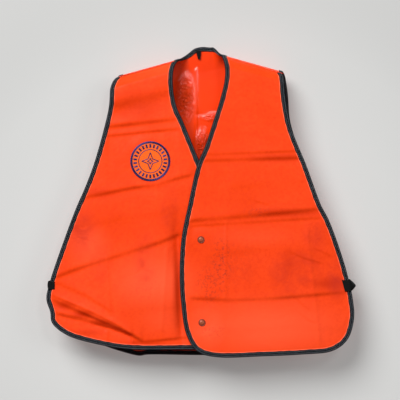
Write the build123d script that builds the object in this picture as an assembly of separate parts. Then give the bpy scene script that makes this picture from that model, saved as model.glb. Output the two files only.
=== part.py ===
from build123d import *
import os
from math import cos, radians, sin

# A bound safety vest, hanging upright. All sizes are in millimetres.
# +X is the wearer's left, -Y is the outside of the fronts, +Z is up.
# The origin lies midway between the neck ends of the shoulders.

BEND_RADIUS = 2812.0  # how gently the panels curve round the wearer
FABRIC = 1.0  # thickness of the coated fabric
TAPE = 2.6  # thickness of a bound edge
TAPE_WIDTH = 8.5  # how far the tape reaches in from the edge
TAPE_WRAP = 0.8  # tape thickness round the fabric's cut edge
BACK_Y = 28.0  # middle of the back panel on the centre line
RIGHT_Y = -28.0  # middle of the right front, which lies underneath
LEFT_Y = -33.5  # middle of the left front, which lies on top
LEAN = 3.0  # degrees that the fronts stand off at the hem
LEAN_Z = -18.0  # height that the fronts lean about
CREASE_GAP = 0.4  # half of the gap along each fold line

NECK_X = 51.0  # neck end of each shoulder
ARM_X = 166.0  # armhole end of each shoulder
CREST_NECK = 9.0  # height of the shoulder at the neck
CREST_ARM = -23.0  # height of the shoulder at the armhole
SHOULDER_DROP = 27.0  # from the crest down to the shoulder's lower edges

LEFT_FOLD = ((51.0, -24.0), (300.0, -452.0))  # fold line of the left front
RIGHT_FOLD = ((-54.0, -24.0), (-303.0, -452.0))  # fold line of the right front

STRAP_Z = -447.0
STRAP_HEIGHT = 18.0
STRAP_THICKNESS = 1.4
STRAP_REACH = 309.0  # how far the middle of each strap bulges out

SNAPS = {"upper": (1.0, -355.0), "lower": (3.0, -519.0)}
CAP_RADIUS = 7.5
CAP_RISE = 2.6
RIM_RISE = 0.9
SHANK_RADIUS = 2.2
HOLE_RADIUS = 2.4
SOCKET_RADIUS = 6.0
SOCKET_DEPTH = 2.1
SOCKET_BORE = 2.7
STUD_RADIUS = 5.5
STUD_FLANGE = 0.8
STUD_HEIGHT = 3.2
STUD_NECK = 2.2
POST_RADIUS = 5.0
POST_FLANGE = 0.8
SEAT = 0.03  # clearance under a flat flange on the bent fabric

PATCH = (-100.4, -198.4)
PATCH_RADIUS = 40.0
BORDER_WIDTH = 4.0
PATCH_GROUND = 0.8
BORDER_HEIGHT = 1.5
RING_RADIUS = 24.0
RING_WIDTH = 1.4
THREAD_HEIGHT = 0.5
MARKS = 26
MARK_RADIUS = 30.4
MARK_LENGTH = 7.4
MARK_WIDTH = 3.0
STAR_OUTER = 18.0
STAR_INNER = 7.4
STAR_OPENING = 0.78  # size of the opening in the star, as a share of the star
STAR_CORE = 0.42  # size of the small star in the middle

LOOP_X = -4.0
LOOP_WIDTH = 9.0
LOOP_THICKNESS = 1.2
LOOP_TOP = 18.0
LOOP_LENGTH = 15.0


def outline(*runs):
    """A closed face in the X-Z plane, from runs of points that follow each other."""
    edges = []
    for run in runs:
        if len(run) == 2:
            edges.append(Line(*run))
        else:
            edges.append(Spline(*run))
    return make_face(edges)


def left_front_outline():
    side = [(166, -51), (174, -74), (183, -134), (211, -206), (255, -314), (289, -410), (304, -482)]
    side_end = [(304, -482), (305, -515), (293, -552), (262, -577)]
    hem = [(262, -577), (225, -584), (130, -587), (29, -586)]
    turn = [(29, -586), (-5, -577), (-22, -553), (-34, -518)]
    edge = [
        (-34, -518), (-41, -420), (-36, -350), (-25, -290), (-7, -216),
        (13, -158), (36, -90), (48, -42), (51, -19),
    ]
    return outline(side, side_end, hem, turn, edge, [(51, -19), (166, -51)])


def right_front_outline():
    side = [(-166, -51), (-179, -66), (-187, -110), (-215, -206), (-243, -278), (-275, -362), (-304, -450)]
    side_end = [(-304, -450), (-307, -478), (-297, -514), (-270, -540), (-235, -557)]
    hem = [(-235, -557), (-160, -573), (-60, -578), (0, -576)]
    turn = [(0, -576), (20, -564), (32, -535), (37, -500)]
    edge = [
        (37, -500), (40, -400), (25, -290), (7, -226), (-15, -170),
        (-37, -118), (-51, -74), (-54, -40), (-51, -19),
    ]
    return outline(side, side_end, hem, turn, edge, [(-51, -19), (-166, -51)])


def back_outline():
    left = [(166, -50.2), (178, -71), (185, -125), (210, -206), (253, -314), (287, -410), (302, -482)]
    left_end = [(302, -482), (303, -515), (288, -555), (255, -580)]
    hem = [(255, -580), (180, -590), (30, -594), (-125, -594)]
    right_end = [(-125, -594), (-200, -575), (-270, -545), (-297, -514), (-304, -478)]
    right = [
        (-304, -478), (-290, -408), (-242, -278), (-213, -206),
        (-186, -112), (-178, -67), (-166, -50.2),
    ]
    neck = [(-49, -6), (-34, 15), (8, 30), (36, 23), (49, 0)]
    neck_left = [(49, 0), (50, -18.2)]
    neck_right = [(-50, -18.2), (-49, -6)]
    top_left = [(50, -18.2), (166, -50.2)]
    top_right = [(-166, -50.2), (-50, -18.2)]
    return outline(left, left_end, hem, right_end, right, top_right, neck_right, neck, neck_left, top_left)


def sheet_shell(middle_y, inner, outer, facing):
    """A thin upright layer that bends away from facing (-1 front, 1 back)."""
    centre_y = middle_y - facing * BEND_RADIUS
    big = BEND_RADIUS + outer
    small = BEND_RADIUS + inner
    half = 345.0
    big_y = centre_y + facing * (big**2 - half**2) ** 0.5
    small_y = centre_y + facing * (small**2 - half**2) ** 0.5
    section = make_face(
        [
            ThreePointArc((-half, big_y), (0, centre_y + facing * big), (half, big_y)),
            Line((half, big_y), (half, small_y)),
            ThreePointArc((half, small_y), (0, centre_y + facing * small), (-half, small_y)),
            Line((-half, small_y), (-half, big_y)),
        ]
    )
    return extrude(Plane.XY.offset(-650) * section, amount=750)


def through(face):
    """A bar of the given X-Z outline that runs through the whole vest."""
    return extrude(Plane.XZ * face, amount=120, both=True)


def layer(face, middle_y, inner, outer, facing):
    return through(face) & sheet_shell(middle_y, inner, outer, facing)


def fabric(face, middle_y, facing):
    return layer(face, middle_y, -FABRIC / 2, FABRIC / 2, facing)


def tape(face, middle_y, facing, panel):
    return layer(face, middle_y, -TAPE / 2, TAPE / 2, facing) - panel


def half_plane(fold, towards_x):
    """The part of the X-Z plane on one side of a fold line, less the gap along it."""
    (x0, z0), (x1, z1) = fold
    length = ((x1 - x0) ** 2 + (z1 - z0) ** 2) ** 0.5
    ux = (x1 - x0) / length
    uz = (z1 - z0) / length
    nx = -uz if towards_x > 0 else uz
    nz = ux if towards_x > 0 else -ux
    ax = x0 + nx * CREASE_GAP
    az = z0 + nz * CREASE_GAP
    far = 1500.0
    return make_face(
        Polyline(
            (ax - ux * far, az - uz * far),
            (ax + ux * far, az + uz * far),
            (ax + ux * far + nx * far, az + uz * far + nz * far),
            (ax - ux * far + nx * far, az - uz * far + nz * far),
            close=True,
        )
    )


def lean(shape):
    """Stands a piece of the fronts off the body at the hem."""
    pivot = Pos(0, LEFT_Y, LEAN_Z)
    return pivot * Rot(-LEAN, 0, 0) * pivot.inverse() * shape


def snap_hole(where):
    x, z = where
    return through(Pos(x, z) * Circle(HOLE_RADIUS))


def turned(radius, where, near_y, far_y):
    """A round bar along Y between two depths."""
    x, z = where
    start = Plane((x, near_y, z), x_dir=(1, 0, 0), z_dir=(0, 1, 0))
    return extrude(start * Circle(radius), amount=far_y - near_y)


def snap_cap(where):
    x, z = where
    front = LEFT_Y - FABRIC / 2
    rim = -RIM_RISE
    dome = -CAP_RISE
    end = FABRIC + 0.3
    chord = CAP_RADIUS - 1.2
    rise = CAP_RISE - RIM_RISE
    dome_radius = (chord**2 + rise**2) / (2 * rise)
    half_way = dome + dome_radius - (dome_radius**2 - chord**2 / 4) ** 0.5
    profile = make_face(
        [
            Line((0, dome), (0, end)),
            Line((0, end), (SHANK_RADIUS, end)),
            Line((SHANK_RADIUS, end), (SHANK_RADIUS, 0)),
            Line((SHANK_RADIUS, 0), (CAP_RADIUS, 0)),
            Line((CAP_RADIUS, 0), (CAP_RADIUS, rim)),
            Line((CAP_RADIUS, rim), (chord, rim)),
            ThreePointArc((chord, rim), (chord / 2, half_way), (0, dome)),
        ]
    )
    place = Plane((x, front, z), x_dir=(1, 0, 0), z_dir=(0, 0, 1))
    return revolve(place * profile, Axis((x, front, z), (0, 1, 0)))


def snap_socket(where):
    near = LEFT_Y + FABRIC / 2 + SEAT
    body = turned(SOCKET_RADIUS, where, near, near + SOCKET_DEPTH)
    seat = turned(SOCKET_BORE, where, near + 0.3, near + SOCKET_DEPTH + 1)
    shank = turned(SHANK_RADIUS, where, near - 1, near + 0.3)
    groove = turned(SOCKET_RADIUS - 1.2, where, near + SOCKET_DEPTH - 0.5, near + SOCKET_DEPTH + 1)
    lip = turned(SOCKET_BORE + 1.1, where, near, near + SOCKET_DEPTH)
    return body - seat - shank - (groove - lip)


def snap_stud(where):
    face = RIGHT_Y - FABRIC / 2
    flange = turned(STUD_RADIUS, where, face - STUD_FLANGE, face)
    post = turned(STUD_NECK, where, face - STUD_HEIGHT, face)
    bore = turned(1.2, where, face - STUD_HEIGHT + 0.8, face + 1)
    return flange + post - bore


def snap_post(where):
    face = RIGHT_Y + FABRIC / 2 + SEAT
    flange = turned(POST_RADIUS, where, face, face + POST_FLANGE)
    dimple = turned(POST_RADIUS - 2.2, where, face + POST_FLANGE - 0.3, face + 2)
    pin = turned(1.1, where, face - FABRIC - STUD_FLANGE, face)
    return flange - dimple + pin


def patch_layer(face, low, high):
    placed = Pos(*PATCH) * face
    return layer(placed, RIGHT_Y, FABRIC / 2 + low, FABRIC / 2 + high, -1)


def star(points, outer, inner):
    corners = []
    for i in range(2 * points):
        radius = outer if i % 2 == 0 else inner
        angle = radians(90 + 180 * i / points)
        corners.append((radius * cos(angle), radius * sin(angle)))
    return make_face(Polyline(*corners, close=True))


def patch_parts():
    ground = PATCH_RADIUS - BORDER_WIDTH
    border = Circle(PATCH_RADIUS) - Circle(ground)
    ring = Circle(RING_RADIUS) - Circle(RING_RADIUS - RING_WIDTH)
    marks = Sketch() + [
        Rot(0, 0, 360 / MARKS * (i + 0.5)) * Pos(MARK_RADIUS, 0) * Rectangle(MARK_LENGTH, MARK_WIDTH)
        for i in range(MARKS)
    ]
    motif = star(4, STAR_OUTER, STAR_INNER)
    motif -= star(4, STAR_OUTER * STAR_OPENING, STAR_INNER * STAR_OPENING)
    motif += star(4, STAR_OUTER * STAR_CORE, STAR_INNER * STAR_CORE)
    top = PATCH_GROUND + THREAD_HEIGHT
    return {
        "patch_ground": patch_layer(Circle(ground), 0, PATCH_GROUND),
        "patch_border": patch_layer(border, 0, BORDER_HEIGHT),
        "patch_ring": patch_layer(ring, PATCH_GROUND, top),
        "patch_marks": patch_layer(marks, PATCH_GROUND, top),
        "patch_motif": patch_layer(motif, PATCH_GROUND, top),
    }


def arch_section(x, side, front_y, thickness):
    """The shoulder's arch at one X, from the front's top edge over to the back's."""
    share = (x - NECK_X) / (ARM_X - NECK_X)
    crest = CREST_NECK + (CREST_ARM - CREST_NECK) * share
    foot = crest - SHOULDER_DROP
    bend = x**2 / (2 * BEND_RADIUS)
    near = front_y + bend
    far = BACK_Y - bend
    half = thickness / 2
    middle = (near + far) / 2
    outer = Spline(
        (near - half, foot), (middle, crest + half), (far + half, foot), tangents=[(0, 1), (0, -1)]
    )
    inner = Spline(
        (far - half, foot), (middle, crest - half), (near + half, foot), tangents=[(0, 1), (0, -1)]
    )
    ends = [Line((far + half, foot), (far - half, foot)), Line((near + half, foot), (near - half, foot))]
    return Plane.YZ.offset(side * x) * make_face([outer, inner, *ends])


def arch(x0, x1, side, front_y, thickness):
    return loft(
        [arch_section(x0, side, front_y, thickness), arch_section(x1, side, front_y, thickness)],
        ruled=True,
    )


def shoulder(side, front_y):
    """Fabric of one shoulder with the tape along its neck edge and its armhole edge."""
    cloth = arch(NECK_X + TAPE_WRAP, ARM_X - TAPE_WRAP, side, front_y, FABRIC)
    neck = arch(NECK_X, NECK_X + TAPE_WIDTH, side, front_y, TAPE) - cloth
    arm = arch(ARM_X - TAPE_WIDTH, ARM_X, side, front_y, TAPE) - cloth
    return cloth, neck, arm


def region(x0, z0, x1, z1):
    return Pos((x0 + x1) / 2, (z0 + z1) / 2) * Rectangle(x1 - x0, z1 - z0)


def inset(face, distance):
    """The outline drawn further in, as plain splines and straight lines that meet."""
    runs = []
    for edge in offset(face, -distance).faces()[0].outer_wire().order_edges():
        steps = 1 if edge.geom_type == GeomType.LINE else max(4, int(edge.length / 30))
        runs.append([edge.position_at(i / steps) for i in range(steps + 1)])
    if (runs[0][-1] - runs[1][0]).length > (runs[0][-1] - runs[1][-1]).length:
        runs[1].reverse()
    first_end = min((runs[0][0], runs[0][-1]), key=lambda end: (end - runs[1][0]).length)
    if first_end == runs[0][0]:
        runs[0].reverse()
    for before, after in zip(runs, runs[1:]):
        if (after[-1] - before[-1]).length < (after[0] - before[-1]).length:
            after.reverse()
        after[0] = before[-1]
    runs[-1][-1] = runs[0][0]
    return make_face([Line(*run) if len(run) == 2 else Spline(*run) for run in runs])


def seam_strip(side, reach, depth):
    """A strip along the shoulder seam, reach in from both ends and depth below the foot."""
    slope = (CREST_ARM - CREST_NECK) / (ARM_X - NECK_X)
    foot = CREST_NECK - SHOULDER_DROP
    near = NECK_X + reach
    far = ARM_X - reach
    near_z = foot + slope * reach
    far_z = foot + slope * (ARM_X - NECK_X - reach)
    return make_face(
        Polyline(
            (side * near, near_z + 2),
            (side * far, far_z + 2),
            (side * far, far_z - depth),
            (side * near, near_z - depth),
            close=True,
        )
    )


def bound_panel(face, sides):
    """The fabric's own outline, open to the shoulder seams, and the band that its tape covers."""
    cloth = inset(face, TAPE_WRAP)
    band = face - inset(face, TAPE_WIDTH)
    for side in sides:
        cloth = cloth + (face & seam_strip(side, TAPE_WRAP, 4))
        band = band - seam_strip(side, TAPE_WIDTH, TAPE_WIDTH + 3)
    return cloth, band


def front(side, face, fold, front_y):
    """The standing part and the folding part of one front, each with its tape."""
    cloth, band = bound_panel(face, [side])
    standing = half_plane(fold, side)
    folding = half_plane(fold, -side)
    panel = fabric(cloth, front_y, -1)
    side_cloth = panel & through(standing)
    flap_cloth = panel & through(folding)
    side_tape = tape(band & standing, front_y, -1, panel)
    flap_tape = tape(band & folding, front_y, -1, panel)
    return side_cloth, flap_cloth, side_tape, flap_tape


def back():
    """The back panel with its four stretches of tape."""
    cloth, band = bound_panel(back_outline(), [1, -1])
    panel = fabric(cloth, BACK_Y, 1)
    neck = band & region(-NECK_X, -19, NECK_X, 60)
    hem = band & region(-230, -640, 250, -540)
    left = band & region(ARM_X - TAPE_WIDTH, -640, 400, 0) - region(-230, -640, 250, -540)
    right = band & region(-400, -640, -ARM_X + TAPE_WIDTH, 0) - region(-230, -640, 250, -540)
    return panel, *[tape(part, BACK_Y, 1, panel) for part in (neck, hem, left, right)]


def strap(side):
    """One elastic strap, bulging outwards between the back and the front."""
    x0 = 286.0
    bend = STRAP_REACH**2 / (2 * BEND_RADIUS)
    back_y = BACK_Y - bend - TAPE / 2 - 0.05
    drop = (LEAN_Z - STRAP_Z - STRAP_HEIGHT / 2) * sin(radians(LEAN))
    base_y = LEFT_Y if side > 0 else RIGHT_Y
    front_y = base_y + bend - drop + TAPE / 2 + 0.5
    middle = (back_y + front_y) / 2
    thick = STRAP_THICKNESS
    outer = Spline((x0, back_y), (STRAP_REACH, middle), (x0, front_y), tangents=[(1, 0), (-1, 0)])
    inner = Spline(
        (x0, front_y + thick),
        (STRAP_REACH - thick, middle),
        (x0, back_y - thick),
        tangents=[(1, 0), (-1, 0)],
    )
    ends = [Line((x0, front_y), (x0, front_y + thick)), Line((x0, back_y - thick), (x0, back_y))]
    band = make_face([outer, inner, *ends])
    body = extrude(Plane.XY.offset(STRAP_Z - STRAP_HEIGHT / 2) * band, amount=STRAP_HEIGHT)
    return body if side > 0 else mirror(body, Plane.YZ)


def neck_loop():
    """The small tab that hangs inside the back of the neck, tapering to its tip."""
    y = BACK_Y - TAPE / 2 - 0.4 - LOOP_THICKNESS / 2
    half = LOOP_WIDTH / 2
    tip = LOOP_TOP - LOOP_LENGTH
    face = make_face(
        Polyline(
            (LOOP_X - half, LOOP_TOP),
            (LOOP_X + half, LOOP_TOP),
            (LOOP_X + half * 0.7, tip + 3),
            (LOOP_X + half * 0.2, tip),
            (LOOP_X - half * 0.5, tip + 2),
            close=True,
        )
    )
    place = Plane((0, y - LOOP_THICKNESS / 2, 0), x_dir=(1, 0, 0), z_dir=(0, -1, 0))
    return extrude(place * face, amount=-LOOP_THICKNESS)


def whole_vest():
    nodes = {}
    panel, neck, hem, left, right = back()
    left_cloth, left_neck, left_arm = shoulder(1, LEFT_Y)
    right_cloth, right_neck, right_arm = shoulder(-1, RIGHT_Y)
    nodes["back_panel"] = panel
    nodes["left_shoulder"] = left_cloth
    nodes["right_shoulder"] = right_cloth
    nodes["back_neck_binding"] = Compound([*neck.solids(), *left_neck.solids(), *right_neck.solids()])
    nodes["back_hem_binding"] = hem
    nodes["back_left_binding"] = Compound([*left.solids(), *left_arm.solids()])
    nodes["back_right_binding"] = Compound([*right.solids(), *right_arm.solids()])
    sides = {
        "left": (1, left_front_outline(), LEFT_FOLD, LEFT_Y),
        "right": (-1, right_front_outline(), RIGHT_FOLD, RIGHT_Y),
    }
    for name, (side, face, fold, front_y) in sides.items():
        side_cloth, flap_cloth, side_tape, flap_tape = front(side, face, fold, front_y)
        for where in SNAPS.values():
            flap_cloth = flap_cloth - snap_hole(where)
        nodes[f"front_{name}_side"] = lean(side_cloth)
        nodes[f"front_{name}_flap"] = lean(flap_cloth)
        nodes[f"front_{name}_side_binding"] = lean(side_tape)
        nodes[f"front_{name}_flap_binding"] = lean(flap_tape)
        nodes[f"{name}_side_elastic"] = strap(side)
    for name, where in SNAPS.items():
        nodes[f"{name}_snap_cap"] = lean(snap_cap(where))
        nodes[f"{name}_snap_socket"] = lean(snap_socket(where))
        nodes[f"{name}_snap_stud"] = lean(snap_stud(where))
        nodes[f"{name}_snap_post"] = lean(snap_post(where))
    for name, shape in patch_parts().items():
        nodes[name] = lean(shape)
    nodes["neck_loop"] = neck_loop()
    return nodes


os.makedirs("parts", exist_ok=True)
for node, shape in whole_vest().items():
    export_step(shape, f"parts/{node}.step")
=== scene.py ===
"""A bound high visibility vest: the soft look around the CAD frame. Sizes are in metres."""

import math

import bmesh
import bpy
import numpy as np
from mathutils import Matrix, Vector

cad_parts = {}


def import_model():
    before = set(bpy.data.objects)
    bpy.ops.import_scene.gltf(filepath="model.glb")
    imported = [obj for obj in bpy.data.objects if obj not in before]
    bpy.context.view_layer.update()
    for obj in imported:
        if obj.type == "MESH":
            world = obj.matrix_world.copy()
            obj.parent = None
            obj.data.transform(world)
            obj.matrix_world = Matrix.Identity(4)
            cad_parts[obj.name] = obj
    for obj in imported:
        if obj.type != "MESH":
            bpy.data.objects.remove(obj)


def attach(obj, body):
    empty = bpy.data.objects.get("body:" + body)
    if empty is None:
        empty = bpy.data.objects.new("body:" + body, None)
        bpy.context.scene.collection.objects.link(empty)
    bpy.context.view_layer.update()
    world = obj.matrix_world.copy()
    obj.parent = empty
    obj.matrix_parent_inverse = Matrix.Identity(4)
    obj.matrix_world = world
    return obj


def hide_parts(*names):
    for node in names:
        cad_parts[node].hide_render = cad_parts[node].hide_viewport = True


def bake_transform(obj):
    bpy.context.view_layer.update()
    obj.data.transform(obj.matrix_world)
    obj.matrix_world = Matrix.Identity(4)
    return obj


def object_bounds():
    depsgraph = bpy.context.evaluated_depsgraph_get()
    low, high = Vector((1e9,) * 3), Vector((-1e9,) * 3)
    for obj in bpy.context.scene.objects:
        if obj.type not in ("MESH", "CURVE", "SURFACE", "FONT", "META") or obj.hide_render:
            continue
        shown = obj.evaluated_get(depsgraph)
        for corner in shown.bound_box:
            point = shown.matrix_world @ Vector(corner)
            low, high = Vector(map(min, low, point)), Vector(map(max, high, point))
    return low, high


MM = 0.001
BEND = 2.812  # bend radius of the panels round the wearer
BACK = 0.028  # depth of the back at its middle, and of each front
RIGHT = -0.028
LEFT = -0.0335
LEAN = math.tan(math.radians(3.0))  # how fast the fronts stand off below LEAN_Z
LEAN_Z = -0.018
NECK_X = 0.051  # neck end of each shoulder
NECK_CORNER = 0.044  # where the neck binding crosses the shoulder seam
CREST_NECK = 0.009  # height of the shoulder's crest at the neck
CREST_SLOPE = -0.032 / 0.115  # fall of the shoulder from neck to arm
CREST_LEFT_RISE = 0.009  # how the two shoulders differ from that
CREST_RIGHT_DROP = 0.002
DROP = 0.027  # height of the shoulder's arch
CLOTH = 0.0009  # thickness
STEP = 0.0004  # for slopes of the cloth
CUT_FRONT = -0.045  # second coordinate on the cut cloth of the fronts
CUT_BACK = 0.027  # and of the back
LAYER_REACH = 0.06  # keeps marks on one panel from showing on the other
TAPE_WIDTH = 0.0088
TAPE_HALF = 0.0013  # half of its thickness
STITCH_ROWS = ((0.56, 0.84, 0.0042), (0.14, 0.34, 0.0050))  # from and to, across the tape, and pitch
STITCH_LIFT = 1.16 * TAPE_HALF
STITCH_RADIUS = 0.00034
# the lip beside the tape is drawn in a paler colour, a painted highlight along the tape's edge
LIP = ((0.98, 0.60), (1.05, 0.55), (1.12, 0.32))  # stretched cloth beside the tape: across, height
QUIET_FADE = 0.02  # from flat cloth round a snap or patch to the creases
SNAPS = [(0.001, -0.355, 0.009), (0.003, -0.519, 0.009)]  # x, z and the radius that stays flat
PATCH_CENTRE = (-0.1004, -0.1984, 0.041)  # likewise
PATCH_BARS = 26
STRAP_Z = -0.447
STRAP_HALF = 0.009  # half of its height, which is more on the left and less on the right
LOOP_X = -0.004
FOLD_LINES = {  # two points in millimetres, depth in metres, and which side stands still
    "left": ((51, -24), (300, -452), -0.045, 1),
    "right": ((-54, -24), (-303, -452), -0.040, -1),
}
FOLD_HALF = 0.012  # half of the stretch of cloth that bends
OUTLINE_STEP = 0.0022  # between points along a bound edge
FRONT_TOPS = {"left": 0.66, "right": 0.78}  # how far up the shoulder's arch each front reaches
ROLLS = {"right": 1.26, "left": 1.40}  # how far the back's cloth goes over the crest
WALL_Y = 0.036
WALL_HALF = 3
LIGHT_AIM = (0, 0, -0.3)
LENS = 120
SENSOR = 36
VIEW_WIDTH = 0.8  # what the camera takes in at VIEW_Y
VIEW_X = -0.001
VIEW_Y = -0.035
VIEW_Z = -0.276


def load_frame():
    """Loads the CAD pieces and returns the box round them."""
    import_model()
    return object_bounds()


# ---------------------------------------------------------------- shapes


def smooth_line(points, count):
    """count points, evenly spaced, on a smooth line through points given in millimetres."""
    p = np.array(points, float) * MM
    t = np.concatenate([[0], np.cumsum(np.linalg.norm(np.diff(p, axis=0), axis=1) ** 0.5)])
    slope = np.zeros_like(p)
    d = np.diff(p, axis=0) / np.diff(t)[:, None]
    slope[1:-1] = (d[:-1] * np.diff(t)[1:, None] + d[1:] * np.diff(t)[:-1, None]) / (t[2:] - t[:-2])[:, None]
    slope[0] = 1.5 * d[0] - 0.5 * slope[1]
    slope[-1] = 1.5 * d[-1] - 0.5 * slope[-2]
    dense = []
    for i in range(len(p) - 1):
        span = t[i + 1] - t[i]
        s = np.linspace(0, 1, 40, endpoint=False)[:, None]
        a = 2 * s**3 - 3 * s**2 + 1
        b = s**3 - 2 * s**2 + s
        c = -2 * s**3 + 3 * s**2
        e = s**3 - s**2
        dense.append(a * p[i] + b * span * slope[i] + c * p[i + 1] + e * span * slope[i + 1])
    dense = np.concatenate([*dense, p[-1:]])
    return even(dense, count)


def even(line, count):
    """The same line as count points at even distances."""
    length = np.concatenate([[0], np.cumsum(np.linalg.norm(np.diff(line, axis=0), axis=1))])
    at = np.linspace(0, length[-1], count)
    return np.stack([np.interp(at, length, line[:, k]) for k in range(line.shape[1])], axis=1)


def length_of(line):
    """Length of a line through its points."""
    return float(np.linalg.norm(np.diff(line, axis=0), axis=1).sum())


def patch(top, bottom, left, right):
    """A grid of points that fills four edges, all from left to right or from top to bottom."""
    nu = len(top)
    nv = len(left)
    u = np.linspace(0, 1, nu)[None, :, None]
    v = np.linspace(0, 1, nv)[:, None, None]
    across = (1 - v) * top[None] + v * bottom[None]
    down = (1 - u) * left[:, None] + u * right[:, None]
    corners = (1 - v) * ((1 - u) * top[0] + u * top[-1]) + v * ((1 - u) * bottom[0] + u * bottom[-1])
    return across + down - corners


def smoothstep(x):
    """0 below 0 and 1 above 1, with a smooth rise between."""
    x = np.clip(x, 0, 1)
    return x * x * (3 - 2 * x)


def crest(x):
    """Height of the shoulder's crest. The left shoulder lies a little higher than the right."""
    uneven = CREST_LEFT_RISE * smoothstep((x + NECK_X) / (2 * NECK_X)) - CREST_RIGHT_DROP
    return CREST_NECK + uneven + CREST_SLOPE * (np.maximum(np.abs(x), NECK_CORNER) - NECK_X)


def step_fold(x, z, line, width, height, decay=38, fade=14):
    """A crease along a line of (x, z) in millimetres: the cloth above it stands out further.

    width is half of the steep part, and may change from the line's first point to its last.
    """
    px = np.array([p[0] for p in line], float) * MM
    pz = np.array([p[1] for p in line], float) * MM
    share = np.clip((x - px[0]) / (px[-1] - px[0]), 0, 1)
    first, last = width if isinstance(width, tuple) else (width, width)
    half = (first + (last - first) * share) * MM
    slant = math.atan2(pz[-1] - pz[0], px[-1] - px[0])
    off = (z - np.interp(x, px, pz)) * math.cos(slant)
    low, high = min(px[0], px[-1]), max(px[0], px[-1])
    fade = fade * MM
    ends = smoothstep((x - low) / fade + 0.5) * smoothstep((high - x) / fade + 0.5)
    uneven = 0.78 + 0.22 * np.sin(31 * x + 0.05 * pz[0] / MM) + 0.10 * np.sin(83 * x + pz[0] / MM)
    away = np.abs(off) / (decay * MM)
    fall = 0.5 * np.exp(-3 * away) + 0.5 * np.exp(-away)
    return 0.5 * height * MM * ends * uneven * np.tanh(off / half) * fall


def ridge(x, z, ends, width, height, fade=0.15):
    """A soft ridge, or a groove if height is negative, along a line between two points."""
    (x0, z0), (x1, z1) = np.array(ends, float) * MM
    dx, dz = x1 - x0, z1 - z0
    span = math.hypot(dx, dz)
    along = ((x - x0) * dx + (z - z0) * dz) / span**2
    off = ((x - x0) * dz - (z - z0) * dx) / span / (width * MM)
    shape = smoothstep(along / fade + 0.5) * smoothstep((1 - along) / fade + 0.5)
    return height * MM * shape / (1 + off**2) ** 1.5


def mound(x, z, centre, size, height):
    """A broad swell."""
    off = ((x - centre[0] * MM) / (size[0] * MM)) ** 2 + ((z - centre[1] * MM) / (size[1] * MM)) ** 2
    return height * MM * np.exp(-off)


# creases: line, half width and height, then how far each reaches and how its ends fade
LEFT_STEPS = [
    ([(7, -186), (199, -178)], 2.2, 2.2),
    ([(5, -198), (195, -192)], 3.5, 4.2),
    ([(-21, -318), (100, -308), (243, -294)], 5.0, 6.4),
    ([(-17, -328), (239, -312)], 2.5, 2.4),
    ([(-21, -471), (60, -475), (120, -473), (169, -470), (293, -460)], 3.6, 4.4),
    ([(180, -380), (205, -392), (242, -402)], 2.2, 2.2, 12),
    ([(226, -372), (262, -388)], 2.4, 1.6, 12),
    ([(180, -462), (198, -480), (218, -496)], 2.4, 2.2, 12),
    ([(196, -500), (214, -514), (228, -520)], 2.4, 1.4, 12),
    ([(108, -278), (135, -286)], 2.2, 1.4, 12),
    ([(60, -252), (215, -240)], 12.0, 2.2),
    ([(10, -388), (150, -372), (262, -392)], 14.0, 2.4),
    ([(30, -540), (180, -528), (288, -536)], 13.0, 2.6),
]
RIGHT_STEPS = [
    ([(-187, -92), (-49, -56)], 15.0, 12.0, 70),
    ([(-189, -130), (-45, -114)], 4.5, 6.0),
    ([(-189, -148), (-45, -134)], 2.6, 3.6),
    ([(-235, -272), (-141, -253), (-81, -242), (-17, -226)], 3.6, 5.6),
    ([(-289, -430), (-241, -412), (-141, -380), (-81, -361), (-39, -344)], 4.4, 5.0),
    ([(-295, -476), (-209, -512), (-157, -533), (-117, -556)], (6.0, 2.2), 11.0),
    ([(-287, -504), (-225, -518), (-179, -531), (-137, -545)], (2.6, 2.0), 6.0),
    ([(-117, -558), (-20, -549)], 2.4, 3.2, 30, 50),
    ([(-250, -330), (-60, -300)], 13.0, 2.4),
    ([(-296, -467), (-209, -503), (-158, -528), (-117, -552)], 1.5, 2.8, 14),
    ([(-288, -500), (-226, -514), (-178, -528), (-138, -542)], 1.5, 2.2, 12),
    ([(-292, -440), (-230, -466), (-180, -496)], (8.0, 2.5), 3.0, 20),
]
BACK_STEPS = [
    ([(-190, -176), (190, -182)], 4.0, 3.2),
    ([(-240, -308), (0, -312), (250, -304)], 5.0, 4.0),
    ([(-290, -452), (-60, -446), (290, -456)], 5.0, 4.0),
    ([(-170, -60), (-40, -74)], 6.0, 2.4),
]


def left_relief(x, z):
    """How far the left front stands out from its plain bend."""
    out = sum(step_fold(x, z, *one) for one in LEFT_STEPS)
    out = out + mound(x, z, (120, -566), (150, 62), 5.0)
    out += ridge(x, z, ((51, -318), (48, -480)), 3, 1.0)
    out += ridge(x, z, ((212, -330), (236, -560)), 6, 1.4)
    out += mound(x, z, (70, -40), (60, 60), 2.0)
    out += 0.0008 * np.sin(x * 21 + z * 9) * np.sin(z * 17 + 0.4)
    return out * quiet(x, z, SNAPS)


def right_relief(x, z):
    """The same for the right front, with the groove beside the left front's edge."""
    out = sum(step_fold(x, z, *one) for one in RIGHT_STEPS)
    out = out + ridge(x, z, ((-48, -320), (-36, -560)), 13, -10.0, 0.35)
    out += ridge(x, z, ((-186, -536), (-188, -566)), 4, 1.6)
    out += ridge(x, z, ((-134, -546), (-137, -566)), 3, 2.2)
    out += ridge(x, z, ((-188, -392), (-180, -500)), 4, 1.2)
    out += ridge(x, z, ((-66, -372), (-78, -540)), 5, 1.2)
    out += mound(x, z, (-100, -470), (110, 45), 2.5)
    out += 0.0009 * np.sin(x * 17 - z * 13 + 1.0) * np.sin(z * 15 + x * 6)
    return out * quiet(x, z, [*SNAPS, PATCH_CENTRE])


def quiet(x, z, places):
    """Flattens the cloth under the snaps and the patch."""
    keep = np.ones_like(x)
    for px, pz, r in places:
        away = np.hypot(x - px, z - pz)
        keep = keep * smoothstep((away - r) / QUIET_FADE)
    return keep


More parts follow.
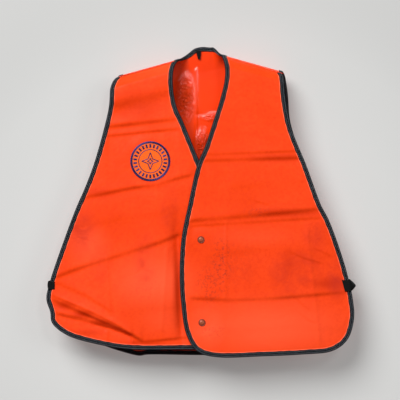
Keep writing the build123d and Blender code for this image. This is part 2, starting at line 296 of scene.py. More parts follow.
def back_relief(x, z):
    """The back's own packing creases; seen from outside, so heights are towards the back."""
    out = ridge(x, z, ((-9, 10), (-9, -230)), 3, -2.0)
    out += ridge(x, z, ((-9, -101), (60, -101)), 2.5, 1.4)
    out += sum(step_fold(x, z, *one) for one in BACK_STEPS)
    out += 0.0012 * np.sin(x * 19 + 2.0) * np.sin(z * 11)
    return out


class Sheet:
    """A cut panel's place in space: flat coordinates (x, up) to a point and an outward side.

    base is the depth at the middle, and facing is -1 for a front and 1 for the back. relief gives
    the creases. other is how far the arch over the shoulder reaches on its far side, and tuck is
    how far a front's end lies under the back's.
    """

    def __init__(self, base, facing, relief, other=0.0, tuck=0.0):
        self.base = base
        self.facing = facing
        self.relief = relief
        self.other = other
        self.tuck = tuck

    def depth(self, x, z):
        """Where the uncreased panel lies, bent round the wearer and leaning out."""
        bent = self.base + self.facing * -(x**2) / (2 * BEND)
        if self.facing < 0:
            bent = bent - LEAN * np.maximum(LEAN_Z - z, 0)
        return bent

    def arch_length(self):
        """Length of a quarter of the shoulder's arch, from its foot to its crest."""
        a = DROP - self.tuck
        b = abs(self.base) - self.tuck
        return math.pi / 2 * math.sqrt((a * a + b * b) / 2)

    def place(self, x, up, off=0.0):
        """The point at (x, up), off metres outside the cloth."""
        x = np.asarray(x, float)
        up = np.asarray(up, float)
        points = self.surface(x, up)
        if not np.any(off):
            return points
        across = self.surface(x + STEP, up) - self.surface(x - STEP, up)
        rise = self.surface(x, up + STEP) - self.surface(x, up - STEP)
        normal = np.cross(across, rise)
        normal /= np.linalg.norm(normal, axis=-1)[..., None]
        return points - self.facing * normal * np.asarray(off, float)[..., None]

    def surface(self, x, up):
        """The point at (x, up): on the hanging panel, or above its foot on the shoulder's arch."""
        foot = crest(x) - DROP
        over = np.clip((up - foot) / self.arch_length(), 0, 1.9)
        angle = over * math.pi / 2
        flat_z = np.minimum(up, foot)
        lift = self.relief(x, up) * (1 - smoothstep(over * 3))
        deep = self.depth(x, flat_z) + self.facing * (lift - self.tuck * smoothstep(over * 4))
        swing = np.where(np.cos(angle) >= 0, deep, -np.sign(deep) * (abs(self.other) + lift))
        y = swing * np.abs(np.cos(angle))
        high = (DROP - self.tuck + lift) * np.sin(angle)
        arch = np.stack([x, y, flat_z + high], axis=-1)
        if self.facing < 0:
            return arch
        # between the shoulders the back stands nearly straight up to the neck edge
        open_part = smoothstep((NECK_CORNER - np.abs(x)) / 0.020)
        rise = np.maximum(up - foot, 0)
        plain = np.stack([x, deep - 0.05 * rise, up], axis=-1)
        return arch * (1 - open_part[..., None]) + plain * open_part[..., None]


# ---------------------------------------------------------------- meshes


def make_object(name, verts, faces, materials, uvs=None, face_slots=None):
    """A smooth object. uvs has a pair for each point, face_slots a material for each face."""
    mesh = bpy.data.meshes.new(name)
    mesh.from_pydata([tuple(map(float, v)) for v in verts], [], faces)
    for material in materials:
        mesh.materials.append(material)
    if uvs is not None:
        layer = mesh.uv_layers.new(name="run")
        corners = np.empty(len(mesh.loops), int)
        mesh.loops.foreach_get("vertex_index", corners)
        layer.data.foreach_set("uv", np.asarray(uvs, float)[corners].ravel())
    if face_slots is not None:
        mesh.polygons.foreach_set("material_index", np.asarray(face_slots, int))
    mesh.polygons.foreach_set("use_smooth", [True] * len(mesh.polygons))
    obj = bpy.data.objects.new(name, mesh)
    bpy.context.scene.collection.objects.link(obj)
    return obj


def outward(obj):
    """Turns every face of a closed mesh to the outside."""
    mesh = bmesh.new()
    mesh.from_mesh(obj.data)
    bmesh.ops.recalc_face_normals(mesh, faces=mesh.faces)
    mesh.to_mesh(obj.data)
    mesh.free()
    return obj


def grid_faces(rows, columns, start=0, flip=False):
    """The quads of a grid of points in rows, as indices from start."""
    faces = []
    for j in range(rows - 1):
        for i in range(columns - 1):
            a = start + j * columns + i
            quad = (a, a + columns, a + columns + 1, a + 1)
            faces.append(quad[::-1] if flip else quad)
    return faces


def cloth_piece(name, grids, sheet, materials):
    """One piece of cloth from grids of flat coordinates, with an outer and an inner face."""
    outer = []
    flat = []
    faces = []
    for grid in grids:
        rows, columns = grid.shape[:2]
        faces += grid_faces(rows, columns, len(outer), flip=sheet.facing > 0)
        outer += list(sheet.place(grid[..., 0], grid[..., 1]).reshape(-1, 3))
        layer = np.full((rows, columns), CUT_BACK if sheet.facing > 0 else CUT_FRONT)
        flat += list(np.stack([grid[..., 0], layer, grid[..., 1]], axis=-1).reshape(-1, 3))
    obj = make_object(name, outer, faces, materials)
    cut = obj.data.attributes.new("cut", "FLOAT_VECTOR", "POINT")
    cut.data.foreach_set("vector", np.asarray(flat, np.float32).ravel())
    mesh = bmesh.new()
    mesh.from_mesh(obj.data)
    bmesh.ops.remove_doubles(mesh, verts=mesh.verts, dist=0.0002)
    bmesh.ops.recalc_face_normals(mesh, faces=mesh.faces)
    middle = max(mesh.faces, key=lambda face: face.calc_area())
    if middle.normal.y * sheet.facing < 0:
        bmesh.ops.reverse_faces(mesh, faces=mesh.faces)
    mesh.to_mesh(obj.data)
    mesh.free()
    thick = obj.modifiers.new("cloth", "SOLIDIFY")
    thick.thickness = CLOTH
    thick.offset = -1
    thick.material_offset = 1
    thick.material_offset_rim = 1
    return obj


def inward(line, side):
    """Unit vectors across a flat line, towards the cloth."""
    along = np.gradient(line, axis=0)
    along /= np.linalg.norm(along, axis=1)[:, None]
    return np.stack([-along[:, 1], along[:, 0]], axis=1) * side


# across from the edge in tape widths, and height in half thicknesses: one face, then all round
TAPE_FACE = [(1.0, 0.55), (0.97, 0.92), (0.80, 1.05), (0.50, 1.12), (0.22, 1.10), (0.04, 0.80)]
TAPE_SECTION = [*TAPE_FACE, (-0.05, 0.0), *[(across, -height) for across, height in TAPE_FACE[::-1]]]


def zigzag(line, normal, sheet, face, pitch, near, far, lift, radius, extra=0.0):
    """A thread stitched to and fro along a tape, as a thin four-sided strand."""
    count = int(length_of(line) / pitch)
    at = np.linspace(0, len(line) - 1, count * 2)
    index = np.arange(len(line))
    base = np.stack([np.interp(at, index, line[:, k]) for k in range(2)], axis=1)
    across = np.stack([np.interp(at, index, normal[:, k]) for k in range(2)], axis=1)
    reach = np.where(np.arange(len(at)) % 2 == 0, near, far)[:, None]
    flat = base + across * reach
    rings = []
    for dx, dy in ((radius, 0), (0, radius), (-radius, 0), (0, -radius)):
        side = flat + across * dx
        rings.append(sheet.place(side[:, 0], side[:, 1], face * lift - CLOTH / 2 + dy + extra))
    rings = np.stack(rings, axis=1).reshape(-1, 3)
    faces = []
    for i in range(len(at) - 1):
        for k in range(4):
            a, b = i * 4 + k, i * 4 + (k + 1) % 4
            faces.append((a, b, b + 4, a + 4))
    return rings, faces


def tape_piece(name, line, side, sheet, materials):
    """A bound edge: tape folded round a flat line at the edge of a sheet, and its stitches."""
    normal = inward(line, side)
    verts = []
    uvs = []
    run = np.concatenate([[0], np.cumsum(np.linalg.norm(np.diff(line, axis=0), axis=1))])
    wave = 0.00025 * np.sin(run * 310) + 0.0002 * np.sin(run * 117 + 1)
    for across, height in TAPE_SECTION:
        at = line + normal * (across * TAPE_WIDTH + wave * across)[:, None]
        points = sheet.place(at[:, 0], at[:, 1], height * TAPE_HALF - CLOTH / 2)
        verts.append(points)
        over = across if height > 0 else -across
        uvs.append(np.stack([run, np.full_like(run, over * TAPE_WIDTH)], axis=1))
    rows = len(TAPE_SECTION)
    count = len(line)
    verts = np.concatenate(verts)
    faces = grid_faces(rows, count)
    for i in range(count - 1):
        faces.append(((rows - 1) * count + i, i, i + 1, (rows - 1) * count + i + 1))
    faces.append(tuple(j * count for j in range(rows)))
    faces.append(tuple(j * count + count - 1 for j in reversed(range(rows))))
    slots = [0] * len(faces)
    uvs = np.concatenate(uvs)
    for face in (1, -1):
        for near, far, pitch in STITCH_ROWS:
            near, far = near * TAPE_WIDTH, far * TAPE_WIDTH
            points, links = zigzag(line, normal, sheet, face, pitch, near, far, STITCH_LIFT, STITCH_RADIUS)
            faces += [tuple(i + len(verts) for i in link) for link in links]
            slots += [1] * len(links)
            verts = np.concatenate([verts, points])
            uvs = np.concatenate([uvs, np.zeros((len(points), 2))])
    # the lip takes the paler third material: a painted highlight along the tape's edge
    lip = []
    for across, height in LIP:
        at = line + normal * across * TAPE_WIDTH
        lip.append(sheet.place(at[:, 0], at[:, 1], height * TAPE_HALF - CLOTH / 2))
    lip_faces = grid_faces(len(LIP), count, len(verts))
    faces += lip_faces
    slots += [2] * len(lip_faces)
    verts = np.concatenate([verts, *lip])
    uvs = np.concatenate([uvs, np.zeros((len(LIP) * count, 2))])
    return outward(make_object(name, verts, faces, materials, uvs=uvs, face_slots=slots))


# ---------------------------------------------------------------- outlines, in millimetres


LEFT_SIDE = [
    (161, 0), (165, -20), (169, -62), (175, -104), (185, -142), (211, -206),
    (240, -285), (257, -318), (289, -410), (304, -476), (306, -512), (296, -548), (282, -565),
]
LEFT_HEM = [(282, -565), (258, -577), (200, -582), (120, -585), (40, -587), (8, -582), (-8, -574)]
LEFT_EDGE = [
    (43, 12), (49, -8), (49, -34), (40, -74), (25, -122), (9, -170), (-6, -206),
    (-25, -290), (-37, -350), (-41, -420), (-38, -480), (-30, -535), (-18, -562), (-8, -574),
]
RIGHT_SIDE = [
    (-166, 0), (-171, -24), (-180, -48), (-183, -86), (-191, -124), (-214, -206), (-233, -256),
    (-248, -290), (-275, -362), (-303, -446), (-308, -474), (-300, -500), (-297, -520), (-282, -536),
]
RIGHT_HEM = [(-282, -536), (-258, -549), (-205, -563), (-150, -572), (-60, -573), (10, -570), (24, -562)]
RIGHT_EDGE = [
    (-44, 14), (-53, -8), (-56, -34), (-50, -84), (-33, -124), (-12, -176), (2, -212),
    (24, -290), (36, -350), (40, -420), (40, -500), (34, -545), (24, -562),
]
BACK_SIDE_LEFT = [
    (167, -5), (173, -26), (178, -60), (182, -110), (191, -146), (209, -206),
    (238, -285), (253, -318), (286, -410), (301, -476), (303, -510), (294, -546), (278, -564),
]
BACK_SIDE_RIGHT = [
    (-165, -5), (-172, -26), (-179, -60), (-183, -100), (-190, -134), (-212, -206),
    (-246, -290), (-273, -362), (-300, -446), (-304, -474), (-300, -500), (-286, -530), (-268, -544),
]
BACK_HEM = [
    (-268, -544), (-225, -562), (-165, -584), (-124, -594), (-112, -592), (0, -593),
    (120, -592), (240, -584), (278, -564),
]


def up_at(sheet, x, over):
    """The flat height at x that lies a share of the way up the shoulder's arch; 1 is the crest."""
    return crest(np.asarray(x, float)) - DROP + sheet.arch_length() * over


def start_at(line, sheet, over):
    """Moves the first point of an outline in millimetres to a share of the way up the arch."""
    x = line[0][0] * MM
    return [(line[0][0], float(up_at(sheet, x, over)) / MM), *line[1:]]


# ---------------------------------------------------------------- materials


def new_material(name):
    material = bpy.data.materials.new(name)
    material.use_nodes = True
    nodes = material.node_tree.nodes
    return material, nodes, material.node_tree.links, nodes["Principled BSDF"]


def set_inputs(node, values):
    for name, value in values.items():
        node.inputs[name].default_value = value


def noise(nodes, links, vector, scale, detail=4.0, rough=0.55, distortion=0.0):
    node = nodes.new("ShaderNodeTexNoise")
    set_inputs(node, {"Scale": scale, "Detail": detail, "Roughness": rough, "Distortion": distortion})
    links.new(vector, node.inputs["Vector"])
    return node.outputs["Fac"]


def bands(nodes, links, vector, direction, scale, distortion=0.0, detail=2.0):
    node = nodes.new("ShaderNodeTexWave")
    node.wave_type = "BANDS"
    node.bands_direction = direction
    set_inputs(node, {"Scale": scale, "Distortion": distortion, "Detail": detail})
    links.new(vector, node.inputs["Vector"])
    return node.outputs["Fac"]


def ramp(nodes, links, value, stops):
    node = nodes.new("ShaderNodeValToRGB")
    points = node.color_ramp.elements
    while len(points) < len(stops):
        points.new(0.5)
    for point, (at, colour) in zip(points, stops):
        point.position = at
        point.color = (*colour, 1)
    links.new(value, node.inputs["Fac"])
    return node.outputs["Color"]


def grey(level):
    return (level, level, level)


def mix(nodes, links, share, a, b):
    """Colour a where share is 0, and the plain colour b where it is 1."""
    node = nodes.new("ShaderNodeMix")
    node.data_type = "RGBA"
    sockets = {socket.name: socket for socket in node.inputs if socket.enabled}
    links.new(share, sockets["Factor"])
    links.new(a, sockets["A"])
    sockets["B"].default_value = (*b, 1)
    return next(s for s in node.outputs if s.enabled)


def math_node(nodes, links, operation, a, b):
    node = nodes.new("ShaderNodeMath")
    node.operation = operation
    for socket, value in zip(node.inputs, (a, b)):
        if isinstance(value, (int, float)):
            socket.default_value = value
        else:
            links.new(value, socket)
    return node.outputs[0]


def bump(nodes, links, height, distance, strength=1.0, normal=None):
    node = nodes.new("ShaderNodeBump")
    set_inputs(node, {"Distance": distance, "Strength": strength})
    links.new(height, node.inputs["Height"])
    if normal is not None:
        links.new(normal, node.inputs["Normal"])
    return node.outputs["Normal"]


def cut_coords(nodes):
    """Coordinates on the flat cut cloth, which marks keep when the cloth moves."""
    node = nodes.new("ShaderNodeAttribute")
    node.attribute_name = "cut"
    return node.outputs["Vector"]


def place_coords(nodes):
    return nodes.new("ShaderNodeTexCoord").outputs["Object"]


def blob(nodes, links, where, centre, size):
    """1 at a centre, falling to 0 at size away along each axis."""
    for operation, vector in (("SUBTRACT", centre), ("DIVIDE", size)):
        step = nodes.new("ShaderNodeVectorMath")
        step.operation = operation
        step.inputs[1].default_value = vector
        links.new(where, step.inputs[0])
        where = step.outputs[0]
    length = nodes.new("ShaderNodeVectorMath")
    length.operation = "LENGTH"
    links.new(where, length.inputs[0])
    value = nodes.new("ShaderNodeMapRange")
    value.interpolation_type = "SMOOTHSTEP"
    set_inputs(value, {"From Min": 1.0, "From Max": 0.0})
    links.new(length.outputs["Value"], value.inputs["Value"])
    return value.outputs["Result"]


def marked_areas(nodes, links, where, areas, layer):
    """The strongest of several blobs on the fronts' or the back's cut cloth."""
    total = None
    for x, z, half_x, half_z, strength in areas:
        mark = blob(nodes, links, where, (x, layer, z), (half_x, LAYER_REACH, half_z))
        one = math_node(nodes, links, "MULTIPLY", mark, strength)
        total = one if total is None else math_node(nodes, links, "MAXIMUM", total, one)
    return total


# where the fronts are smudged and speckled, darkened with painted shade along creases and slopes, and paler:
# x, z, half sizes and strength
SMUDGES = [
    (0.190, -0.420, 0.075, 0.060, 1.0),
    (0.275, -0.435, 0.040, 0.060, 0.9),
    (0.080, -0.420, 0.120, 0.050, 0.2),
    (0.226, -0.350, 0.035, 0.050, 0.6),
    (-0.240, -0.340, 0.045, 0.070, 0.8),
    (-0.110, -0.400, 0.030, 0.080, 0.6),
    (-0.060, -0.300, 0.030, 0.070, 0.5),
    (-0.200, -0.400, 0.030, 0.060, 0.5),
]
SPECKLES = [
    (0.042, -0.405, 0.030, 0.085, 0.8),
    (0.018, -0.445, 0.040, 0.055, 0.55),
    (0.070, -0.400, 0.060, 0.090, 0.14),
    (0.115, -0.300, 0.040, 0.020, 0.30),
    (0.025, -0.535, 0.045, 0.025, 0.40),
    (-0.110, -0.455, 0.060, 0.060, 0.22),
]
# painted shade: darker, deeper orange in the creases and on slopes that face away from the light
PAINTED_SHADE = [
    (-0.125, -0.085, 0.090, 0.050, 0.55),
    (-0.205, -0.262, 0.050, 0.018, 0.5),
    (-0.272, -0.487, 0.030, 0.014, 0.9),
    (-0.235, -0.504, 0.034, 0.013, 1.0),
    (-0.195, -0.521, 0.034, 0.011, 0.9),
    (-0.225, -0.540, 0.060, 0.012, 0.5),
    (-0.120, -0.560, 0.060, 0.009, 0.6),
    (-0.045, -0.450, 0.014, 0.120, 0.8),
    (0.160, -0.192, 0.100, 0.014, 0.6),
    (0.170, -0.302, 0.110, 0.016, 0.7),
    (0.255, -0.443, 0.055, 0.020, 0.8),
    (0.175, -0.400, 0.020, 0.040, 0.4),
]
# paler, whiter areas of the fronts
PALER = [
    (0.140, -0.530, 0.220, 0.085, 0.98),
    (0.020, -0.530, 0.080, 0.070, 0.9),
    (-0.090, -0.440, 0.120, 0.085, 1.0),
    (-0.225, -0.365, 0.060, 0.060, 0.7),
    (-0.080, -0.510, 0.080, 0.050, 0.5),
    (0.110, -0.350, 0.150, 0.030, 0.3),
    (-0.100, 0.000, 0.110, 0.040, 0.34),
]
# where the shiny inside is crinkled most
CRINKLED = [
    (-0.032, -0.068, 0.026, 0.065, 1.0),
    (0.004, -0.165, 0.022, 0.045, 0.9),
    (0.030, -0.105, 0.040, 0.014, 0.5),
    (0.000, -0.400, 0.330, 0.200, 0.33),
]


def orange_outside():
    """Coated cloth: flat, fluorescent, with a fine grain, smudges, specks of dirt, paler parts and painted
    shade along creases and slopes.
    """
    material, nodes, links, shader = new_material("orange_outside")
    where = cut_coords(nodes)
    broad = noise(nodes, links, where, 7, 3, 0.5)
    cloudy = noise(nodes, links, where, 38, 5, 0.6)
    streaks = noise(nodes, links, where, 24, 4, 0.6, 0.8)
    grain = noise(nodes, links, where, 900, 3, 0.6)
    tone = ramp(nodes, links, broad, [(0.3, (0.74, 0.043, 0.0024)), (0.7, (0.85, 0.056, 0.0072))])
    cloud = ramp(nodes, links, cloudy, [(0.35, grey(0.0)), (0.75, grey(0.35))])
    tone = mix(nodes, links, cloud, tone, (0.68, 0.036, 0.003))
    mottle = noise(nodes, links, where, 150, 5, 0.65)
    mottled = ramp(nodes, links, mottle, [(0.42, grey(0.0)), (0.70, grey(0.55))])
    tone = mix(nodes, links, mottled, tone, (0.66, 0.032, 0.003))
    # a lighter, whiter colour in these areas
    paler = math_node(nodes, links, "MULTIPLY", marked_areas(nodes, links, where, PALER, CUT_FRONT), 0.9)
    tone = mix(nodes, links, paler, tone, (0.92, 0.084, 0.027))
    # painted shade along the creases and slopes, mixed into the cloth's colour
    deep = marked_areas(nodes, links, where, PAINTED_SHADE, CUT_FRONT)
    tone = mix(nodes, links, deep, tone, (0.50, 0.021, 0.0006))
    uneven = ramp(nodes, links, streaks, [(0.38, grey(0.25)), (0.62, grey(1.0))])
    smudge = marked_areas(nodes, links, where, SMUDGES, CUT_FRONT)
    smudge = math_node(nodes, links, "MULTIPLY", smudge, uneven)
    tone = mix(nodes, links, smudge, tone, (0.50, 0.026, 0.009))
    spots = noise(nodes, links, where, 210, 3, 0.6, 0.6)
    fine_spots = ramp(nodes, links, spots, [(0.50, grey(0.0)), (0.60, grey(1.0))])
    speckle = marked_areas(nodes, links, where, SPECKLES, CUT_FRONT)
    speckle = math_node(nodes, links, "MULTIPLY", speckle, fine_spots)
    patches = noise(nodes, links, where, 16, 4, 0.65)
    stray = ramp(nodes, links, spots, [(0.70, grey(0.0)), (0.75, grey(0.5))])
    stray = math_node(nodes, links, "MULTIPLY", stray, patches)
    dirt = math_node(nodes, links, "MAXIMUM", speckle, stray)
    tone = mix(nodes, links, dirt, tone, (0.30, 0.028, 0.013))
    links.new(tone, shader.inputs["Base Color"])
    shine = ramp(nodes, links, cloudy, [(0.3, grey(0.42)), (0.7, grey(0.56))])
    links.new(shine, shader.inputs["Roughness"])
    shader.inputs["Specular IOR Level"].default_value = 0.07
    first = bump(nodes, links, streaks, 0.0025, 0.35)
    links.new(bump(nodes, links, grain, 0.00025, 0.5, first), shader.inputs["Normal"])
    return material


def orange_inside():
    """The shiny vinyl side, crinkled where it was folded."""
    material, nodes, links, shader = new_material("orange_inside")
    where = cut_coords(nodes)
    broad = noise(nodes, links, where, 9, 3, 0.5)
    tone = ramp(nodes, links, broad, [(0.3, (0.74, 0.032, 0.0004)), (0.7, (0.86, 0.046, 0.0010))])
    links.new(tone, shader.inputs["Base Color"])
    set_inputs(shader, {"Roughness": 0.30, "Specular IOR Level": 0.12})
    set_inputs(shader, {"Coat Weight": 0.8, "Coat Roughness": 0.10})
    crinkle = noise(nodes, links, where, 85, 3, 0.55, 2.0)
    wide = noise(nodes, links, where, 13, 2, 0.5, 0.4)
    there = marked_areas(nodes, links, where, CRINKLED, CUT_BACK)
    crinkle = math_node(nodes, links, "MULTIPLY", crinkle, there)
    first = bump(nodes, links, wide, 0.004, 0.5)
    second = bump(nodes, links, crinkle, 0.0140, 1.0, first)
    links.new(second, shader.inputs["Normal"])
    links.new(second, shader.inputs["Coat Normal"])
    return material


def binding_material():
    """Dark woven tape: a fine twill that runs with the edge, with slightly worn ridges."""
    material, nodes, links, shader = new_material("binding_tape")
    run = nodes.new("ShaderNodeUVMap")
    run.uv_map = "run"
    warp = bands(nodes, links, run.outputs["UV"], "DIAGONAL", 280, 0.6, 1.0)
    weft = bands(nodes, links, run.outputs["UV"], "Y", 420)
    weave = math_node(nodes, links, "MULTIPLY", warp, weft)
    where = place_coords(nodes)
    wear = noise(nodes, links, where, 120, 5, 0.65)
    tone = ramp(nodes, links, weave, [(0.1, (0.002, 0.003, 0.004)), (0.8, (0.013, 0.016, 0.021))])
    worn = ramp(nodes, links, wear, [(0.5, grey(0.0)), (0.72, grey(0.5))])
    tone = mix(nodes, links, worn, tone, (0.034, 0.039, 0.045))
    links.new(tone, shader.inputs["Base Color"])
    set_inputs(shader, {"Roughness": 0.9, "Specular IOR Level": 0.08})
    links.new(bump(nodes, links, weave, 0.0003, 0.8), shader.inputs["Normal"])
    return material


def plain_detail(name, dark, light, roughness, scale, metallic=0.0, depth=0.0002, shine=0.1):
    """A solid colour broken up by fine noise in tone, shine and surface."""
    material, nodes, links, shader = new_material(name)
    where = place_coords(nodes)
    fine = noise(nodes, links, where, scale, 5, 0.6)
    links.new(ramp(nodes, links, fine, [(0.3, dark), (0.7, light)]), shader.inputs["Base Color"])
    rough = ramp(nodes, links, fine, [(0.3, grey(roughness * 0.85)), (0.7, grey(roughness))])
    links.new(rough, shader.inputs["Roughness"])
    set_inputs(shader, {"Metallic": metallic, "Specular IOR Level": shine})
    links.new(bump(nodes, links, fine, depth, 0.6), shader.inputs["Normal"])
    return material


def patch_twill():
    """Orange twill: fine diagonal lines."""
    material, nodes, links, shader = new_material("patch_twill")
    where = place_coords(nodes)
    lines = bands(nodes, links, where, "DIAGONAL", 330, 0.4)
    fine = noise(nodes, links, where, 260, 4, 0.6)
    stripes = [(0.1, (0.74, 0.080, 0.004)), (0.8, (0.94, 0.155, 0.014))]
    tone = ramp(nodes, links, lines, stripes)
    uneven = ramp(nodes, links, fine, [(0.4, grey(0.0)), (0.7, grey(0.4))])
    tone = mix(nodes, links, uneven, tone, (0.62, 0.08, 0.02))
    links.new(tone, shader.inputs["Base Color"])
    set_inputs(shader, {"Roughness": 0.85, "Specular IOR Level": 0.15})
    links.new(bump(nodes, links, lines, 0.0003, 0.8), shader.inputs["Normal"])
    return material


# ---------------------------------------------------------------- stage and light


def stage_material():
    """Pale paper backdrop with painted light and shade, a little darker towards the top and its corners, and
    a painted glow that pales shadows on it; it can be seen from its front only.
    """
    material, nodes, links, shader = new_material("backdrop_paper_painted_light")
    where = place_coords(nodes)
    # painted light and shade on the wall: lighter low in the middle, darker towards the top and corners
    glow = blob(nodes, links, where, (0.05, WALL_Y, -0.62), (0.75, 1.0, 0.85))
    stops = [(0.0, 0.320), (0.10, 0.360), (0.30, 0.388), (1.0, 0.445)]
    tone = ramp(nodes, links, glow, [(at, (level, level, 0.982 * level)) for at, level in stops])
    links.new(tone, shader.inputs["Base Color"])
    set_inputs(shader, {"Roughness": 0.9, "Specular IOR Level": 0.1})
    # the emission is a painted glow: the wall is no lamp, and the glow pales the shadow cast on it
    set_inputs(shader, {"Emission Color": (1, 1, 0.985, 1), "Emission Strength": 0.19})
    clear = nodes.new("ShaderNodeBsdfTransparent")
    side = nodes.new("ShaderNodeNewGeometry")
    choose = nodes.new("ShaderNodeMixShader")
    links.new(side.outputs["Backfacing"], choose.inputs[0])
    links.new(shader.outputs[0], choose.inputs[1])
    links.new(clear.outputs[0], choose.inputs[2])
    links.new(choose.outputs[0], nodes["Material Output"].inputs["Surface"])
    return material


def build_stage():
    """The wall close behind the vest."""
    corners = [(WALL_HALF * x, WALL_HALF * z) for x, z in ((-1, -1), (1, -1), (1, 1), (-1, 1))]
    wall = make_object("backdrop", [(x, WALL_Y, z) for x, z in corners], [(0, 1, 2, 3)], [stage_material()])
    wall.visible_shadow = False


def area_light(name, where, size, watts):
    """A round light that points at the middle of the vest."""
    data = bpy.data.lights.new(name, "AREA")
    data.shape = "DISK"
    data.size = size
    data.energy = watts
    obj = bpy.data.objects.new(name, data)
    obj.location = where
    direction = Vector(LIGHT_AIM) - Vector(where)
    obj.rotation_euler = direction.to_track_quat("-Z", "Y").to_euler()
    bpy.context.scene.collection.objects.link(obj)


def build_light():
    """A pale surround, three lights from the front and one from behind."""
    world = bpy.data.worlds.new("studio")
    world.use_nodes = True
    bpy.context.scene.world = world
    back = world.node_tree.nodes["Background"]
    back.inputs["Color"].default_value = (1, 1, 1, 1)
    back.inputs["Strength"].default_value = 0.12
    area_light("key", (-1.9, -3.7, 2.55), 3.2, 365)
    area_light("front", (0.9, -3.3, 0.9), 0.6, 16)
    area_light("fill", (2.8, -3.0, 0.6), 1.6, 26)
    area_light("rear", (0.8, 2.4, 1.0), 1.8, 60)
    view = bpy.context.scene.view_settings
    view.view_transform = "Standard"
    view.look = "None"


def build_camera():
    """A long lens that looks straight at the fronts."""
    data = bpy.data.cameras.new("camera")
    data.lens = LENS
    data.sensor_width = SENSOR
    obj = bpy.data.objects.new("camera", data)
    distance = VIEW_WIDTH * LENS / SENSOR
    obj.location = (VIEW_X, VIEW_Y - distance, VIEW_Z)
    obj.rotation_euler = (math.pi / 2, 0, 0)
    bpy.context.scene.collection.objects.link(obj)
    bpy.context.scene.camera = obj


# ---------------------------------------------------------------- the vest


def fold_ends(p0, p1, y, side):
    """Two points across a fold line, on its standing side and its folding side."""
    p0 = np.array(p0, float) * MM
    p1 = np.array(p1, float) * MM
    along = (p1 - p0) / np.linalg.norm(p1 - p0)
    across = np.array([-along[1], along[0]]) * side
    middle = (p0 + p1) / 2
    a = middle + across * FOLD_HALF
    b = middle - across * FOLD_HALF
    return (a[0], y, a[1]), (b[0], y, b[1])


def build_fronts(skins, tape):
    """Both fronts with their tape. Returns each one's cloth and sheet, and each fold's two ends."""
    left = Sheet(LEFT, -1, left_relief, tuck=0.0012)
    right = Sheet(RIGHT, -1, right_relief, tuck=0.0012)
    folds = {name: fold_ends(*line) for name, line in FOLD_LINES.items()}
    made = {}
    for name, sheet, side_line, hem_line, edge_line in (
        ("left", left, LEFT_SIDE, LEFT_HEM, LEFT_EDGE),
        ("right", right, RIGHT_SIDE, RIGHT_HEM, RIGHT_EDGE),
    ):
        side_line = start_at(side_line, sheet, FRONT_TOPS[name])
        edge_line = start_at(edge_line, sheet, FRONT_TOPS[name])
        down = 280
        over = 150
        side = smooth_line(side_line, down)
        edge = smooth_line(edge_line, down)
        hem = smooth_line(hem_line, over)
        top = np.linspace(edge[0], side[0], over)
        grid = patch(top, hem[::-1], edge, side)
        cloth = cloth_piece(f"front_{name}_panel", [grid], sheet, skins)
        back_up = smooth_line(edge_line, 400)[::-1]
        bound = np.concatenate([smooth_line(side_line, 400), smooth_line(hem_line, 240)[1:], back_up[1:]])
        bound = even(bound, int(length_of(bound) / OUTLINE_STEP))
        facing = -1 if name == "left" else 1
        strip = tape_piece(f"front_{name}_tape", bound, facing, sheet, tape)
        for obj in (cloth, strip):
            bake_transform(obj)
        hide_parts(f"front_{name}_side", f"front_{name}_flap")
        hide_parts(f"front_{name}_side_binding", f"front_{name}_flap_binding")
        made[name] = (cloth, sheet)
    return made, folds


def build_back(skins, tape):
    """The back up to its neck edge and over both shoulders, with its tape."""
    sheet = Sheet(BACK, 1, back_relief, other=0.030)
    right_line = start_at(BACK_SIDE_RIGHT, sheet, 1.0)
    left_line = start_at(BACK_SIDE_LEFT, sheet, 1.0)
    down = 240
    right = smooth_line(right_line, down)
    left = smooth_line(left_line, down)
    right_crest = np.linspace(right[0], [-NECK_CORNER, up_at(sheet, -NECK_CORNER, 1.0)], 60)
    left_crest = np.linspace([NECK_CORNER, up_at(sheet, NECK_CORNER, 1.0)], left[0], 60)
    neck_mm = [
        (-44, right_crest[-1][1] / MM), (-28, 22), (-12, 33), (3, 36.5),
        (21, 35.5), (33, 37), (44, left_crest[0][1] / MM),
    ]
    neck = smooth_line(neck_mm, 72)
    top = np.concatenate([right_crest[:-1], neck, left_crest[1:]])
    hem = even(smooth_line(BACK_HEM, 190), len(top))
    grids = [patch(top, hem, right, left)]
    for line, over in ((right_crest, ROLLS["right"]), (left_crest, ROLLS["left"])):
        steps = np.linspace(1.0, over, 14)
        roll = np.stack([np.stack([line[:, 0], up_at(sheet, line[:, 0], s)], axis=1) for s in steps])
        grids.append(roll[::-1])
    cloth = cloth_piece("back_panel_cloth", grids, sheet, skins)
    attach(cloth, "back")
    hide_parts("back_panel", "left_shoulder", "right_shoulder")

    def over_crest(x, over):
        """Points in millimetres from the end of the rolled cloth back to just over the crest."""
        return [(x, float(up_at(sheet, x * MM, s)) / MM) for s in np.linspace(over, 1.06, 6)]

    outer = np.concatenate(
        [
            smooth_line([*over_crest(-165.5, ROLLS["right"]), *right_line], 400),
            smooth_line(BACK_HEM, 300)[1:],
            smooth_line([*over_crest(166.5, ROLLS["left"]), *left_line], 400)[::-1][1:],
        ]
    )
    outer = even(outer, int(length_of(outer) / OUTLINE_STEP))
    rim = tape_piece("back_outer_tape", outer, 1, sheet, tape)
    right_end = np.array(over_crest(-44, ROLLS["right"])) * MM
    left_end = np.array(over_crest(44, ROLLS["left"])[::-1]) * MM
    neck_line = even(np.concatenate([right_end, neck, left_end]), 260)
    collar = tape_piece("back_neck_tape", neck_line, -1, sheet, tape)
    for obj in (rim, collar):
        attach(obj, "back")
    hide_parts("back_hem_binding", "back_left_binding", "back_right_binding")
    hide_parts("back_neck_binding")
    return cloth, sheet


